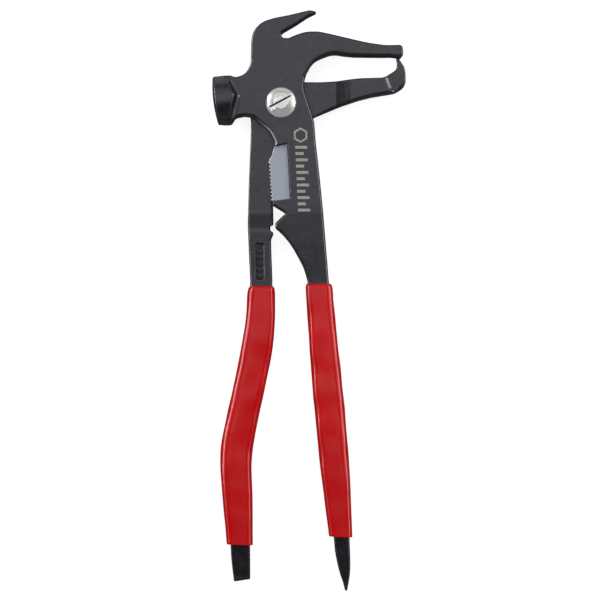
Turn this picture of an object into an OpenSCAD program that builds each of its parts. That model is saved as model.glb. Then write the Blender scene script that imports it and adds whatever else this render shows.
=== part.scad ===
// Wheel-weight hammer pliers: two lapped levers on a screw, with a hammer head, a claw, a hooked jaw,
// a serrated shear blade, a pry end and a pointed end.
// Frame: X to the jaw tips, Y to the claw, Z up through the pivot. The origin is on the pivot axis,
// at the back face of the nut.

/* [Lap joint] */
// Thickness of each lever where the two lap at the pivot
lap_t = 5.5; // [5.2:0.1:6]
// Running gap between the two laps
lap_gap = 0.1; // [0.08:0.01:0.2]
// Thickness of the jaws and of the handles past the joint
arm_t = 8; // [7.4:0.1:9]

/* [Pivot] */
// Diameter of the plain shoulder that the hammer lever turns on
shoulder_d = 10; // [9:0.1:11]
// Diameter of the threaded end
thread_d = 8; // [7:0.1:8.4]
// Radial running clearance in the bores
fit = 0.05; // [0.03:0.01:0.08]
// Diameter of the screw head
head_d = 13.8; // [12.6:0.1:14.6]
// Height of the screw head
head_h = 3.6; // [3:0.1:4.2]
// Width of the driver slot
slot_w = 2; // [1.6:0.1:2.4]
// Direction of the driver slot, in degrees from +X
slot_angle = 28; // [0:1:180]
// Width of the nut across its flats
nut_af = 13; // [12.4:0.1:14]
// Height of the nut
nut_h = 6.5; // [6:0.1:7]

/* [Hammer] */
// Diameter of the hammer head
hammer_d = 21.6; // [20:0.1:23]
// Length of the cylindrical part of the hammer head
hammer_l = 6.6; // [5.6:0.1:7]
// Radius of the crowned striking face
crown_r = 58; // [28:1:80]
// How far the hammer's axis leans towards the handles, in degrees
hammer_lean = 6; // [3:1:8]

/* [Shear blade] */
// Thickness of the blade left under the ground pocket
blade_t = 1.5; // [1.2:0.1:2.2]
// Number of serrations
teeth = 10; // [6:1:12]
// Depth of a serration
tooth_depth = 0.5; // [0.3:0.05:0.7]

/* [Grips] */
// Thickness of the sleeves, front to back
grip_t = 12; // [11:0.1:13]
// Gap between a handle and its sleeve
grip_gap = 0.06; // [0.05:0.01:0.1]

/* [Ends] */
// Thickness of the pry end at its edge
pry_t = 1.6; // [1:0.1:2.4]
// Thickness of the pointed end at its point
point_t = 2.4; // [1.8:0.1:3.4]

/* [Hidden] */

black_steel = [0.27, 0.27, 0.29];
plated = [0.80, 0.81, 0.83];
red_vinyl = [0.78, 0.09, 0.11];

// levels, from the back of the nut upwards
zb0 = nut_h;              // back of the hook lever's lap
zb1 = zb0 + lap_t;        // front of the hook lever's lap
za0 = zb1 + lap_gap;      // back of the hammer lever's lap
za1 = za0 + lap_t;        // front of the hammer lever's lap
zc = zb1;                 // mid plane of the arms
zl = zc - arm_t / 2;      // back of the arms
zh = zc + arm_t / 2;      // front of the arms
far = 400;

// ---- outlines. Each corner is [x, y, blend radius], in round tenths of a millimetre. ----

function unit(v) = v / norm(v);
// a polygon with every corner blended by an arc of its own radius
function blended(p) = let (n = len(p)) [
    for (i = [0 : n - 1])
        let (a = [p[(i + n - 1) % n][0], p[(i + n - 1) % n][1]], b = [p[i][0], p[i][1]],
             c = [p[(i + 1) % n][0], p[(i + 1) % n][1]], r = p[i][2],
             u = unit(a - b), v = unit(c - b), cosw = max(-0.9999, min(0.9999, u * v)),
             half = acos(cosw) / 2, reach = min(r / tan(half), 0.45 * norm(a - b), 0.45 * norm(c - b)),
             rr = reach * tan(half), steps = (r <= 0 || half > 88) ? 0 : max(1, floor((180 - 2 * half) / 16)))
        each steps == 0 ? [b] :
            let (m = b + unit(u + v) * rr / sin(half), s = b + u * reach - m,
                 side = (u[0] * v[1] - u[1] * v[0]) > 0 ? -1 : 1, turn = 180 - 2 * half)
            [for (k = [0 : steps]) let (t = side * turn * k / steps)
                m + [s[0] * cos(t) - s[1] * sin(t), s[0] * sin(t) + s[1] * cos(t)]]];

// serrated edge of the shear blade, from its top to its bottom
blade_top = [-5.3, -26.4];
blade_end = [-4.2, -42.6];
serration = [for (i = [0 : teeth - 1]) let (a = blade_top + (blade_end - blade_top) * i / teeth,
                  b = blade_top + (blade_end - blade_top) * (i + 0.55) / teeth)
             each [[a[0], a[1], 0], [b[0] + tooth_depth, b[1], 0]]];

// handle cores: [y, left x, right x] down the handle
hammer_core = [
    [-78, 11.7, 20.9], [-87, 12.3, 21.7], [-100, 13.4, 23.1], [-114, 14.4, 24.6], [-127, 15.7, 26.0],
    [-140, 17.2, 27.3], [-152, 18.7, 28.5], [-163, 20.2, 29.4], [-175, 21.9, 30.0], [-185, 23.0, 30.1],
    [-193, 23.5, 30.1], [-198, 24.0, 30.3], [-202.5, 24.9, 30.4], [-207, 26.0, 30.3], [-211, 27.4, 29.7]];
hook_core = [
    [-78, -13.4, -4.0], [-87, -13.8, -4.1], [-100, -15.0, -4.6], [-113, -16.6, -6.0], [-124, -18.8, -8.4],
    [-133, -20.7, -10.4], [-142, -22.4, -12.4], [-150, -24.0, -14.0], [-158, -24.8, -14.6], [-166, -24.4, -14.6],
    [-181, -23.3, -14.3], [-193, -22.2, -13.9], [-201, -21.7, -13.8]];
function right_side(t, c) = [for (s = t) [s[2] + c, s[0]]];
function left_side(t, c) = [for (i = [len(t) - 1 : -1 : 0]) [t[i][1] - c, t[i][0]]];
function with_r(p, r) = [for (q = p) [q[0], q[1], r]];

// hammer lever, clockwise from the claw's tip
hammer_outline = blended(concat(
    [[15.4, 39.4, 0.4], [11.4, 37.4, 0], [6.2, 33.9, 20], [1.0, 31.1, 2], [-0.3, 29.9, 1.2], [0.8, 28.3, 1.2],
     [3.4, 28.2, 1.5], [6.2, 29.5, 8], [11.0, 31.1, 12], [16.5, 31.2, 12], [24.0, 29.6, 30], [38.0, 26.4, 40],
     [46.0, 25.2, 12], [53.2, 25.6, 1.6], [54.0, 21.5, 2], [52.6, 19.5, 0.7], [48.5, 20.1, 6], [30.0, 20.4, 30],
     [22.5, 21.6, 10], [14.0, 18.2, 10], [10.8, 12.5, 10], [9.6, 6.5, 16], [12.6, -2.0, 16], [14.5, -8.0, 16],
     [15.2, -17.0, 0], [17.0, -33.0, 0], [18.3, -46.0, 0], [19.6, -62.0, 0]],
    with_r(right_side(hammer_core, 0), 0),
    [[28.9, -214.2, 0.3], [28.4, -214.0, 0.3]],
    with_r(left_side(hammer_core, 0), 0),
    [[9.8, -72.0, 20], [4.6, -62.6, 20], [0.4, -57.6, 10], [-2.4, -55.4, 1.2], [-2.4, -52.8, 1.0], [2.0, -48.6, 0.5],
     [-3.6, -45.2, 0.3], [-4.1, -43.4, 0.4]],
    [for (i = [len(serration) - 1 : -1 : 0]) serration[i]],
    [[-3.6, -22.4, 4], [-2.6, -17.2, 2.5], [-5.0, -12.5, 8], [-9.4, -9.0, 8], [-12.0, -6.6, 3], [-16.0, -6.0, 5],
     [-19.8, -6.8, 3], [-22.0, -9.2, 1], [-25.0, -9.0, 0], [-25.6, 11.6, 0], [-22.4, 11.9, 1], [-20.0, 11.0, 3],
     [-15.6, 12.4, 5], [-13.1, 17.0, 5], [-13.1, 26.0, 8], [-12.5, 30.6, 7], [-10.4, 33.8, 6], [-7.2, 36.2, 6], [-2.4, 37.4, 12], [4.0, 38.6, 20],
     [12.4, 40.5, 2], [14.6, 40.1, 0.6]]));

// hook lever, clockwise from the jaw's root
hook_outline = blended(concat(
    [[8.6, 9.2, 6], [17.0, 9.1, 30], [24.0, 9.5, 30], [34.0, 10.9, 30], [45.6, 11.2, 6], [51.2, 14.8, 2.2],
     [51.0, 18.0, 3], [50.5, 19.5, 0.4], [52.1, 19.1, 0.5], [54.7, 15.0, 9], [54.8, 7.4, 7], [50.0, 4.3, 6],
     [37.0, 2.2, 40], [26.0, -1.5, 40], [15.0, -6.1, 10], [8.0, -9.6, 14], [-1.0, -16.0, 14], [-4.0, -25.0, 12],
     [-3.7, -45.0, 0], [-3.5, -53.4, 0.4], [-4.9, -54.0, 0.6], [-4.9, -56.2, 0.6], [-3.3, -57.2, 0.8], [-4.6, -60.2, 2],
     [-4.5, -65.0, 10], [-4.2, -72.0, 0]],
    with_r(right_side(hook_core, 0), 0),
    [[-13.6, -208.5, 0.4], [-21.0, -209.6, 0.4]],
    with_r(left_side(hook_core, 0), 0),
    [[-13.7, -72.0, 20], [-14.5, -54.0, 40], [-13.9, -32.0, 30], [-13.2, -16.0, 20], [-13.0, -8.0, 10],
     [-14.2, -2.0, 6], [-12.6, 5.0, 6], [-7.6, 11.0, 8], [1.0, 13.4, 8]]));

module slab(z0, z1) { translate([0, 0, z0]) linear_extrude(z1 - z0) children(); }
// a cutter whose outline is in X and Z, running through all Y between y0 and y1
module cut_xz(y0, y1) { translate([0, y1, 0]) rotate([90, 0, 0]) linear_extrude(y1 - y0) children(); }
// a cutter whose outline is in Y and Z, running through all X between x0 and x1
module cut_yz(x0, x1) { translate([x0, 0, 0]) rotate([90, 0, 90]) linear_extrude(x1 - x0) children(); }
module bore(r, z0, z1) { translate([0, 0, z0]) cylinder(r = r, h = z1 - z0, $fn = 96); }

// ---- hammer lever ----

// what the hook lever's lap sweeps from closed to open, with clearance
module hook_lap_sweep() {
    circle(r = 14.8, $fn = 96);
    polygon([[0, 0.5], [-14.8, 0.5], [-19.8, -7.5], [-30, -26], [-30, -52], [30, -52], [30, 0.5]]);
}

module hammer_head() {
    re = hammer_d / 2;
    ch = 0.5;
    rim = sqrt(crown_r * crown_r - (re - ch) * (re - ch));
    translate([-22.4, 1.6, zc]) rotate([0, 0, hammer_lean]) rotate([0, -90, 0])
        rotate_extrude($fn = 96)
            polygon(concat(
                [[0, -4.4], [re - 2.2, -4.4], [re - 1.6, -3.0], [re - 0.3, -0.4], [re, 0.2], [re, hammer_l - ch]],
                [for (i = [8 : -1 : 0]) let (r = (re - ch) * i / 8)
                    [r, hammer_l + sqrt(crown_r * crown_r - r * r) - rim]]));
}

module hammer_lever() {
    color(black_steel) difference() {
        union() {
            slab(zl, za1) polygon(hammer_outline);
            hammer_head();
        }
        // the lap is open at the back for the hook lever
        slab(zl - 20, za0) intersection() { hook_lap_sweep(); translate([-20.2, -60]) square([60, 80]); }
        // the jaw steps down to the mid plane, then thins to its tip
        cut_xz(12, 45) polygon([[22.9, za1], [29, zh], [44, zh - 0.2], [60, zh - 0.9], [60, 40], [22.9, 40]]);
        cut_xz(12, 45) polygon([[40, zl], [60, zl + 0.9], [60, -5], [40, -5]]);
        // the handle steps down to the mid plane
        cut_yz(-10, 60) polygon([[-48.5, za1], [-60.5, zh], [-far, zh], [-far, 40], [-48.5, 40]]);
        cut_yz(-10, 60) polygon([[-46, za0], [-58, zl], [-58, -5], [0, -5], [0, za0]]);
        // the claw thins towards its point
        cut_xz(32.4, 60) polygon([[-2, zl], [20, zc - 1], [20, -5], [-2, -5]]);
        // ground pocket that leaves the shear blade
        slab(za0 + blade_t, 40) polygon([[-9, -19.6], [2.6, -17.8], [3.2, -25], [3.6, -34], [4.1, -42.2], [-9, -44]]);
        // the pointed end thins to its point, front and back
        cut_yz(0, 60) polygon([[-193, zh], [-215, zc + point_t / 2], [-240, zc + point_t / 2], [-240, 40], [-193, 40]]);
        cut_yz(0, 60) polygon([[-193, zl], [-215, zc - point_t / 2], [-240, zc - point_t / 2], [-240, -5], [-193, -5]]);
        bore(shoulder_d / 2 + fit, -1, 40);
    }
}

// ---- hook lever ----

module mark_bar(y) { translate([-10.5, y]) square([2.1, 1.2]); }

module hook_lever() {
    color(black_steel) difference() {
        slab(zb0, zh) polygon(hook_outline);
        // lap, and the joggle up to the jaw
        cut_xz(-14, 20) polygon([[-20, zb1], [24.2, zb1], [30.4, zh], [30.4, 40], [-20, 40]]);
        cut_xz(-14, 20) polygon([[22, zb0], [28, zl], [60, zl], [60, -5], [22, -5]]);
        // the hook is thinner than the jaw
        cut_xz(-14, 20) polygon([[46.8, zh], [48.2, zh - 1.1], [60, zh - 1.8], [60, 40], [46.8, 40]]);
        cut_xz(-14, 20) polygon([[46.4, zl], [48.4, zl + 1.5], [60, zl + 1.8], [60, -5], [46.4, -5]]);
        // lap, and the joggle up to the handle
        cut_yz(-20, 14) polygon([[0, zb1], [-48.4, zb1], [-55, zh], [-55, 40], [0, 40]]);
        cut_yz(-30, 14) polygon([[-46, zb0], [-54, zl], [-240, zl], [-240, -5], [-46, -5]]);
        // sunk panel with plain raised bars
        slab(zh - 0.4, 40) difference() {
            polygon(blended([[-11.4, -62, 0.8], [-7.4, -62, 0.8], [-7.2, -77.6, 0.8], [-11.2, -77.6, 0.8]]));
            for (i = [0 : 4]) mark_bar(-65.4 - 2.4 * i);
        }
        // the pry end thins like a driver blade, front and back
        cut_yz(-40, 0) polygon([[-193, zh], [-208, zc + pry_t / 2], [-240, zc + pry_t / 2], [-240, 40], [-193, 40]]);
        cut_yz(-40, 0) polygon([[-193, zl], [-208, zc - pry_t / 2], [-240, zc - pry_t / 2], [-240, -5], [-193, -5]]);
        bore(thread_d / 2 + fit, -1, 40);
    }
}

// ---- pivot ----

module pivot_screw() {
    r = head_d / 2;
    z0 = za1 + 0.1;
    color(plated) difference() {
        union() {
            translate([0, 0, z0]) rotate_extrude($fn = 96)
                polygon([[0, 0], [r - 0.3, 0], [r, 0.3], [r, 0.32 * head_h], [r * 0.94, 0.5 * head_h], [r * 0.82, 0.68 * head_h],
                         [r * 0.66, 0.84 * head_h], [r * 0.5, 0.95 * head_h], [r * 0.42, head_h], [0, head_h]]);
            translate([0, 0, zb1 + 0.05]) cylinder(d = shoulder_d, h = z0 - zb1 - 0.05, $fn = 96);
            cylinder(d = thread_d, h = z0, $fn = 96);
        }
        translate([0, 0, z0 + head_h]) rotate([0, 0, slot_angle]) cube([head_d * 2, slot_w, 3.2], center = true);
    }
}

module pivot_nut() {
    across_corners = nut_af / cos(30);
    color(plated) difference() {
        intersection() {
            cylinder(d = across_corners, h = nut_h, $fn = 6);
            rotate_extrude($fn = 96)
                polygon([[0, 0], [nut_af / 2 - 0.3, 0], [across_corners / 2 + 0.1, 0.75],
                         [across_corners / 2 + 0.1, nut_h - 0.75], [nut_af / 2 - 0.3, nut_h], [0, nut_h]]);
        }
        bore(thread_d / 2 + fit, -1, nut_h + 1);
    }
}

// ---- grips: a ring of points at each station, round outside, with the handle's own section inside ----

// [y, left x, right x, half thickness as a part of grip_t]
hammer_sleeve = [
    [-79.2, 11.9, 21.3, 0.80], [-80.2, 11.0, 22.2, 0.95], [-87, 11.3, 22.8, 1], [-98, 12.0, 23.9, 1], [-108, 12.6, 25.0, 1],
    [-119, 13.4, 26.2, 1], [-130, 14.3, 27.3, 1], [-140, 15.3, 28.2, 1], [-151, 16.4, 29.1, 1], [-161, 17.4, 30.2, 1],
    [-172, 19.0, 30.6, 1], [-182, 20.2, 30.9, 1], [-191.0, 21.3, 31.2, 1], [-191.6, 21.9, 30.9, 0.95]];
hook_sleeve = [
    [-80.0, -13.3, -4.0, 0.80], [-81.2, -14.2, -2.9, 0.95], [-88, -14.9, -2.7, 1], [-98, -15.9, -3.0, 1], [-107, -17.0, -3.8, 1],
    [-116, -18.5, -5.2, 1], [-125, -20.4, -7.4, 1], [-134, -22.4, -9.3, 1], [-143, -24.7, -11.2, 1], [-151, -26.2, -12.5, 1],
    [-159, -26.8, -13.2, 1], [-167, -26.4, -13.1, 1], [-180, -25.2, -12.8, 1], [-193.4, -23.8, -12.6, 1],
    [-194.2, -23.2, -13.0, 0.95]];

sides = 28;
// a rounded box section, as an even superellipse
function sleeve_ring(s) = let (cx = (s[1] + s[2]) / 2, a = (s[2] - s[1]) / 2, b = grip_t / 2 * s[3])
    [for (k = [0 : sides - 1]) let (t = 360 * k / sides, c = cos(t), q = sin(t))
        [cx + a * sign(c) * pow(abs(c), 0.62), s[0], zc + b * sign(q) * pow(abs(q), 0.62)]];

module sleeve_solid(t) {
    n = len(t);
    polyhedron(
        points = [for (s = t) each sleeve_ring(s)],
        faces = concat(
            [[for (k = [0 : sides - 1]) k]],
            [for (i = [0 : n - 2]) for (k = [0 : sides - 1]) let (a = i * sides + k, b = i * sides + (k + 1) % sides)
                each [[a, a + sides, b], [b, a + sides, b + sides]]],
            [[for (k = [sides - 1 : -1 : 0]) (n - 1) * sides + k]]));
}

module sleeve(t, core) {
    color(red_vinyl) difference() {
        sleeve_solid(t);
        slab(zl - grip_gap, zh + grip_gap) polygon(concat(right_side(core, grip_gap), left_side(core, grip_gap)));
    }
}

module hammer_grip() { sleeve(hammer_sleeve, hammer_core); }
module hook_grip() { sleeve(hook_sleeve, hook_core); }

hammer_lever();
hook_lever();
pivot_screw();
pivot_nut();
hammer_grip();
hook_grip();
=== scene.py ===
# Looks of the wheel-weight hammer pliers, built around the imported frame.
# All shapes below are in millimetres in the row frame, and become metres when a mesh is made.
import math
import bpy
import numpy as np
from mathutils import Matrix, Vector


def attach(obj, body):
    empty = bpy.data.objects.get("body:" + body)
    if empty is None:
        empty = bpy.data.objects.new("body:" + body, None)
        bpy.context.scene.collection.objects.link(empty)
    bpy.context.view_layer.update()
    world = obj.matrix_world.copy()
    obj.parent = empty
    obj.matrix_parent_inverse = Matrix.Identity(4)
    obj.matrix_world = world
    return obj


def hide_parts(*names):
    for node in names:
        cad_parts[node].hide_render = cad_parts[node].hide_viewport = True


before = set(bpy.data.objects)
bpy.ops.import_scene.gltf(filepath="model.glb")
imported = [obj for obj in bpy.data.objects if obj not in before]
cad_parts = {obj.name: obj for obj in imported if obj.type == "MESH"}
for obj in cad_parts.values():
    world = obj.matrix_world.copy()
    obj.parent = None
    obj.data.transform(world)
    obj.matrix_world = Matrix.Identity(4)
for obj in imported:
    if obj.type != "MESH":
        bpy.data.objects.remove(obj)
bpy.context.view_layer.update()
scene = bpy.context.scene
MM = 0.001
FINE = 0.32      # grid pitch of the forged levers
WORLD_TOP = 0.06                     # brightness of the studio's ceiling

# levels, as the CAD sets them
ZC = 12.0                            # mid plane of the arms
LAP_B = (6.5, 12.0)
LAP_A = (12.1, 17.6)
ARM = (8.0, 16.0)


# ---------------------------------------------------------------- small helpers

def smooth(a, b, x):
    t = np.clip((x - a) / (b - a), 0.0, 1.0)
    return t * t * (3 - 2 * t)


def lin(a, b, x):
    return np.clip((x - a) / (b - a), 0.0, 1.0)


def soft_ramp(a, b, x, w):
    """0 before a, 1 after b, straight between, with its two bends rounded over w."""
    def sp(v):
        v = np.clip(v / w, -1, 1)
        return np.where(v >= 1, 0, w * (v + 1) ** 2 / 4)
    def relu(v):
        return np.where(v > w, v, np.where(v < -w, 0.0, (v + w) ** 2 / (4 * w)))
    return (relu(x - a) - relu(x - b)) / (b - a)


def round_and(a, b, r):
    u, v = a + r, b + r
    return np.minimum(np.maximum(u, v), 0) + np.sqrt(np.maximum(u, 0) ** 2 + np.maximum(v, 0) ** 2) - r


def smooth_or(a, b, k):
    h = np.clip(0.5 + 0.5 * (b - a) / k, 0, 1)
    return b + (a - b) * h - k * h * (1 - h)


def axis_points(segs):
    out = []
    for a, b, step in segs:
        n = max(1, int(round((b - a) / step)))
        out.extend(np.linspace(a, b, n, endpoint=False))
    out.append(segs[-1][1])
    return np.array(out)


def blended(points, arc=6.0):
    """A closed outline with each corner [x, y, r] rounded by an arc of radius r."""
    out, n = [], len(points)
    for i in range(n):
        a = np.array(points[i - 1][:2], float)
        b = np.array(points[i][:2], float)
        c = np.array(points[(i + 1) % n][:2], float)
        r = points[i][2]
        u, v = (a - b) / np.linalg.norm(a - b), (c - b) / np.linalg.norm(c - b)
        half = math.acos(max(-0.99999, min(0.99999, float(u @ v)))) / 2
        if r <= 0 or math.degrees(half) > 89.3:
            out.append(b)
            continue
        reach = min(r / math.tan(half), 0.48 * np.linalg.norm(a - b), 0.48 * np.linalg.norm(c - b))
        rr = reach * math.tan(half)
        m = b + (u + v) / np.linalg.norm(u + v) * rr / math.sin(half)
        turn = math.pi - 2 * half
        steps = max(1, int(math.degrees(turn) // arc))
        side = -1 if u[0] * v[1] - u[1] * v[0] > 0 else 1
        s = b + u * reach - m
        for k in range(steps + 1):
            t = side * turn * k / steps
            out.append(m + np.array([s[0] * math.cos(t) - s[1] * math.sin(t), s[0] * math.sin(t) + s[1] * math.cos(t)]))
    return np.array(out)


def spline(xs, ys, q):
    """A smooth curve through (xs, ys), xs rising."""
    xs, ys, q = np.asarray(xs, float), np.asarray(ys, float), np.asarray(q, float)
    h = np.diff(xs)
    s = np.diff(ys) / h
    m = np.empty_like(ys)
    m[1:-1] = (s[:-1] * h[1:] + s[1:] * h[:-1]) / (h[:-1] + h[1:])
    m[0], m[-1] = s[0], s[-1]
    i = np.clip(np.searchsorted(xs, q) - 1, 0, len(xs) - 2)
    t = (q - xs[i]) / h[i]
    return ((2 * t ** 3 - 3 * t ** 2 + 1) * ys[i] + (t ** 3 - 2 * t ** 2 + t) * h[i] * m[i]
            + (-2 * t ** 3 + 3 * t ** 2) * ys[i + 1] + (t ** 3 - t ** 2) * h[i] * m[i + 1])


def dist2d(poly, X, Y, cap=6.0):
    """Signed distance to a closed outline on a grid, negative inside, capped."""
    P = np.asarray(poly, float)
    Q = np.roll(P, -1, 0)
    D = np.full((len(X), len(Y)), float(cap))
    par = np.zeros((len(X) + 1, len(Y)), np.int32)
    for (ax, ay), (bx, by) in zip(P, Q):
        i0, i1 = np.searchsorted(X, min(ax, bx) - cap), np.searchsorted(X, max(ax, bx) + cap)
        j0, j1 = np.searchsorted(Y, min(ay, by) - cap), np.searchsorted(Y, max(ay, by) + cap)
        ex, ey = bx - ax, by - ay
        L = ex * ex + ey * ey
        if L < 1e-12:
            continue
        if i1 > i0 and j1 > j0:
            gx, gy = X[i0:i1, None] - ax, Y[None, j0:j1] - ay
            t = np.clip((gx * ex + gy * ey) / L, 0, 1)
            dd = np.hypot(gx - t * ex, gy - t * ey)
            np.minimum(D[i0:i1, j0:j1], dd, out=D[i0:i1, j0:j1])
        lo, hi = min(ay, by), max(ay, by)
        j0, j1 = np.searchsorted(Y, lo, "left"), np.searchsorted(Y, hi, "left")
        if j1 > j0:
            ys = Y[j0:j1]
            xs = ax + (ys - ay) / (by - ay) * (bx - ax)
            np.add.at(par, (np.searchsorted(X, xs), np.arange(j0, j1)), 1)
    inside = (np.cumsum(par, 0)[:-1] % 2) == 1
    return np.where(inside, -D, D)


def surface(f, X, Y, Z, nudge=2):
    """Surface nets of the field f on a rectilinear grid: vertices and quads, outward."""
    s = f < 0
    nx, ny, nz = f.shape
    any_, all_ = np.zeros((nx - 1, ny - 1, nz - 1), bool), np.ones((nx - 1, ny - 1, nz - 1), bool)
    for a in (0, 1):
        for b in (0, 1):
            for c in (0, 1):
                k = s[a:nx - 1 + a, b:ny - 1 + b, c:nz - 1 + c]
                any_ |= k
                all_ &= k
    mixed = any_ & ~all_
    I, J, K = np.nonzero(mixed)
    ids = np.full(mixed.shape, -1, np.int32)
    ids[I, J, K] = np.arange(len(I))
    corner = {}
    for a in (0, 1):
        for b in (0, 1):
            for c in (0, 1):
                corner[a, b, c] = f[I + a, J + b, K + c].astype(np.float64)
    pos = np.zeros((len(I), 3))
    cnt = np.zeros(len(I))
    for p in corner:
        for ax in range(3):
            if p[ax]:
                continue
            q = tuple(1 if i == ax else p[i] for i in range(3))
            fa, fb = corner[p], corner[q]
            cross = (fa < 0) != (fb < 0)
            t = np.where(cross, fa / np.where(cross, fa - fb, 1), 0)
            w = cross.astype(float)
            for i in range(3):
                pos[:, i] += w * (t if i == ax else p[i])
            cnt += w
    pos /= cnt[:, None]
    lo = np.stack([X[I], Y[J], Z[K]], 1)
    size = np.stack([X[I + 1] - X[I], Y[J + 1] - Y[J], Z[K + 1] - Z[K]], 1)
    for _ in range(nudge):                       # move onto the zero level inside the cell
        u, v, w = pos[:, 0], pos[:, 1], pos[:, 2]
        c = corner
        x00 = c[0, 0, 0] * (1 - u) + c[1, 0, 0] * u
        x10 = c[0, 1, 0] * (1 - u) + c[1, 1, 0] * u
        x01 = c[0, 0, 1] * (1 - u) + c[1, 0, 1] * u
        x11 = c[0, 1, 1] * (1 - u) + c[1, 1, 1] * u
        val = (x00 * (1 - v) + x10 * v) * (1 - w) + (x01 * (1 - v) + x11 * v) * w
        gx = (((c[1, 0, 0] - c[0, 0, 0]) * (1 - v) + (c[1, 1, 0] - c[0, 1, 0]) * v) * (1 - w)
              + ((c[1, 0, 1] - c[0, 0, 1]) * (1 - v) + (c[1, 1, 1] - c[0, 1, 1]) * v) * w)
        gy = (x10 - x00) * (1 - w) + (x11 - x01) * w
        gz = (x01 * (1 - v) + x11 * v) - (x00 * (1 - v) + x10 * v)
        g = np.stack([gx, gy, gz], 1) / size
        step = -val[:, None] * g / np.maximum((g * g).sum(1), 1e-9)[:, None]
        pos = np.clip(pos + np.clip(step / size, -0.4, 0.4), 0.0, 1.0)
    verts = lo + pos * size
    quads = []
    for ax in range(3):
        a = [slice(0, n) for n in f.shape]
        b = [slice(0, n) for n in f.shape]
        a[ax], b[ax] = slice(0, f.shape[ax] - 1), slice(1, f.shape[ax])
        sa, sb = s[tuple(a)], s[tuple(b)]
        E = np.nonzero(sa != sb)
        o = [i for i in range(3) if i != ax]
        ok = np.ones(len(E[0]), bool)
        for i in o:
            ok &= (E[i] > 0) & (E[i] < f.shape[i] - 1)
        E = [e[ok] for e in E]
        neg = sa[tuple(E)]
        def cell(d1, d2):
            c = [E[0].copy(), E[1].copy(), E[2].copy()]
            c[o[0]] -= d1
            c[o[1]] -= d2
            return ids[c[0], c[1], c[2]]
        q = np.stack([cell(1, 1), cell(0, 1), cell(0, 0), cell(1, 0)], 1)
        flip = neg if ax != 1 else ~neg
        q[~flip] = q[~flip][:, ::-1]
        quads.append(q)
    return verts, np.concatenate(quads)


def curvature(verts, faces):
    """Convexity per vertex: positive on outer edges, negative in hollows, in 1/mm."""
    n = len(verts)
    e = np.concatenate([faces[:, [i, (i + 1) % faces.shape[1]]] for i in range(faces.shape[1])])
    a, b = e[:, 0], e[:, 1]
    d1, d2 = verts[faces[:, 2]] - verts[faces[:, 0]], verts[faces[:, -1]] - verts[faces[:, 1]]
    fn = np.cross(d1, d2)
    vn = np.zeros((n, 3))
    for i in range(faces.shape[1]):
        np.add.at(vn, faces[:, i], fn)
    vn /= np.maximum(np.linalg.norm(vn, axis=1), 1e-12)[:, None]
    acc, cnt = np.zeros(n), np.zeros(n)
    d = verts[b] - verts[a]
    L2 = np.maximum((d * d).sum(1), 1e-9)
    np.add.at(acc, a, -(d * vn[a]).sum(1) / L2)
    np.add.at(acc, b, (d * vn[b]).sum(1) / L2)
    np.add.at(cnt, a, 1)
    np.add.at(cnt, b, 1)
    k = 2 * acc / np.maximum(cnt, 1)
    for _ in range(2):
        s, c = np.zeros(n), np.zeros(n)
        np.add.at(s, a, k[b]); np.add.at(s, b, k[a]); np.add.at(c, a, 1); np.add.at(c, b, 1)
        k = 0.5 * k + 0.5 * s / np.maximum(c, 1)
    return k, vn


def add_mesh(name, verts, faces, smooth_shade=True, wear=None, extra=None):
    me = bpy.data.meshes.new(name)
    verts = np.asarray(verts, float) * MM
    if isinstance(faces, np.ndarray) and faces.ndim == 2:
        nf, w = faces.shape
        me.vertices.add(len(verts))
        me.vertices.foreach_set("co", verts.astype(np.float32).ravel())
        me.loops.add(nf * w)
        me.loops.foreach_set("vertex_index", faces.astype(np.int32).ravel())
        me.polygons.add(nf)
        me.polygons.foreach_set("loop_start", np.arange(0, nf * w, w, dtype=np.int32))
        me.update(calc_edges=True)
        me.validate()
    else:
        me.from_pydata([tuple(v) for v in verts], [], [tuple(int(i) for i in f) for f in faces])
        me.update()
    me.polygons.foreach_set("use_smooth", [bool(smooth_shade)] * len(me.polygons))
    if wear is not None and len(wear) == len(me.vertices):
        at = me.attributes.new("wear", "FLOAT", "POINT")
        at.data.foreach_set("value", np.asarray(wear, np.float32))
    for key, val in (extra or {}).items():
        if len(val) == len(me.vertices):
            me.attributes.new(key, "FLOAT", "POINT").data.foreach_set("value", np.asarray(val, np.float32))
    o = bpy.data.objects.new(name, me)
    scene.collection.objects.link(o)
    return o


def wear_of(verts, faces, lo=0.12, hi=0.7):
    k, _ = curvature(verts, faces)
    return np.clip((k - lo) / (hi - lo), 0, 1)


# ---------------------------------------------------------------- outlines, as in the design

HAMMER_CORE = [
    (-78, 11.7, 20.9), (-87, 12.3, 21.7), (-100, 13.4, 23.1), (-114, 14.4, 24.6), (-127, 15.7, 26.0),
    (-140, 17.2, 27.3), (-152, 18.7, 28.5), (-163, 20.2, 29.4), (-175, 21.9, 30.0), (-185, 23.0, 30.1),
    (-193, 23.5, 30.1), (-198, 24.0, 30.3), (-202.5, 24.9, 30.4), (-207, 26.0, 30.3), (-211, 27.4, 29.7)]
HOOK_CORE = [
    (-78, -13.4, -4.0), (-87, -13.8, -4.1), (-100, -15.0, -4.6), (-113, -16.6, -6.0), (-124, -18.8, -8.4),
    (-133, -20.7, -10.4), (-142, -22.4, -12.4), (-150, -24.0, -14.0), (-158, -24.8, -14.6), (-166, -24.4, -14.6),
    (-181, -23.3, -14.3), (-193, -22.2, -13.9), (-201, -21.7, -13.8)]


def dense(core, step=3.0):
    ys = np.array([c[0] for c in core][::-1], float)
    xl = np.array([c[1] for c in core][::-1], float)
    xr = np.array([c[2] for c in core][::-1], float)
    q = np.linspace(ys[0], ys[-1], int((ys[-1] - ys[0]) / step) + 1)
    return [(y, a, b) for y, a, b in zip(q[::-1], spline(ys, xl, q)[::-1], spline(ys, xr, q)[::-1])]


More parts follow.
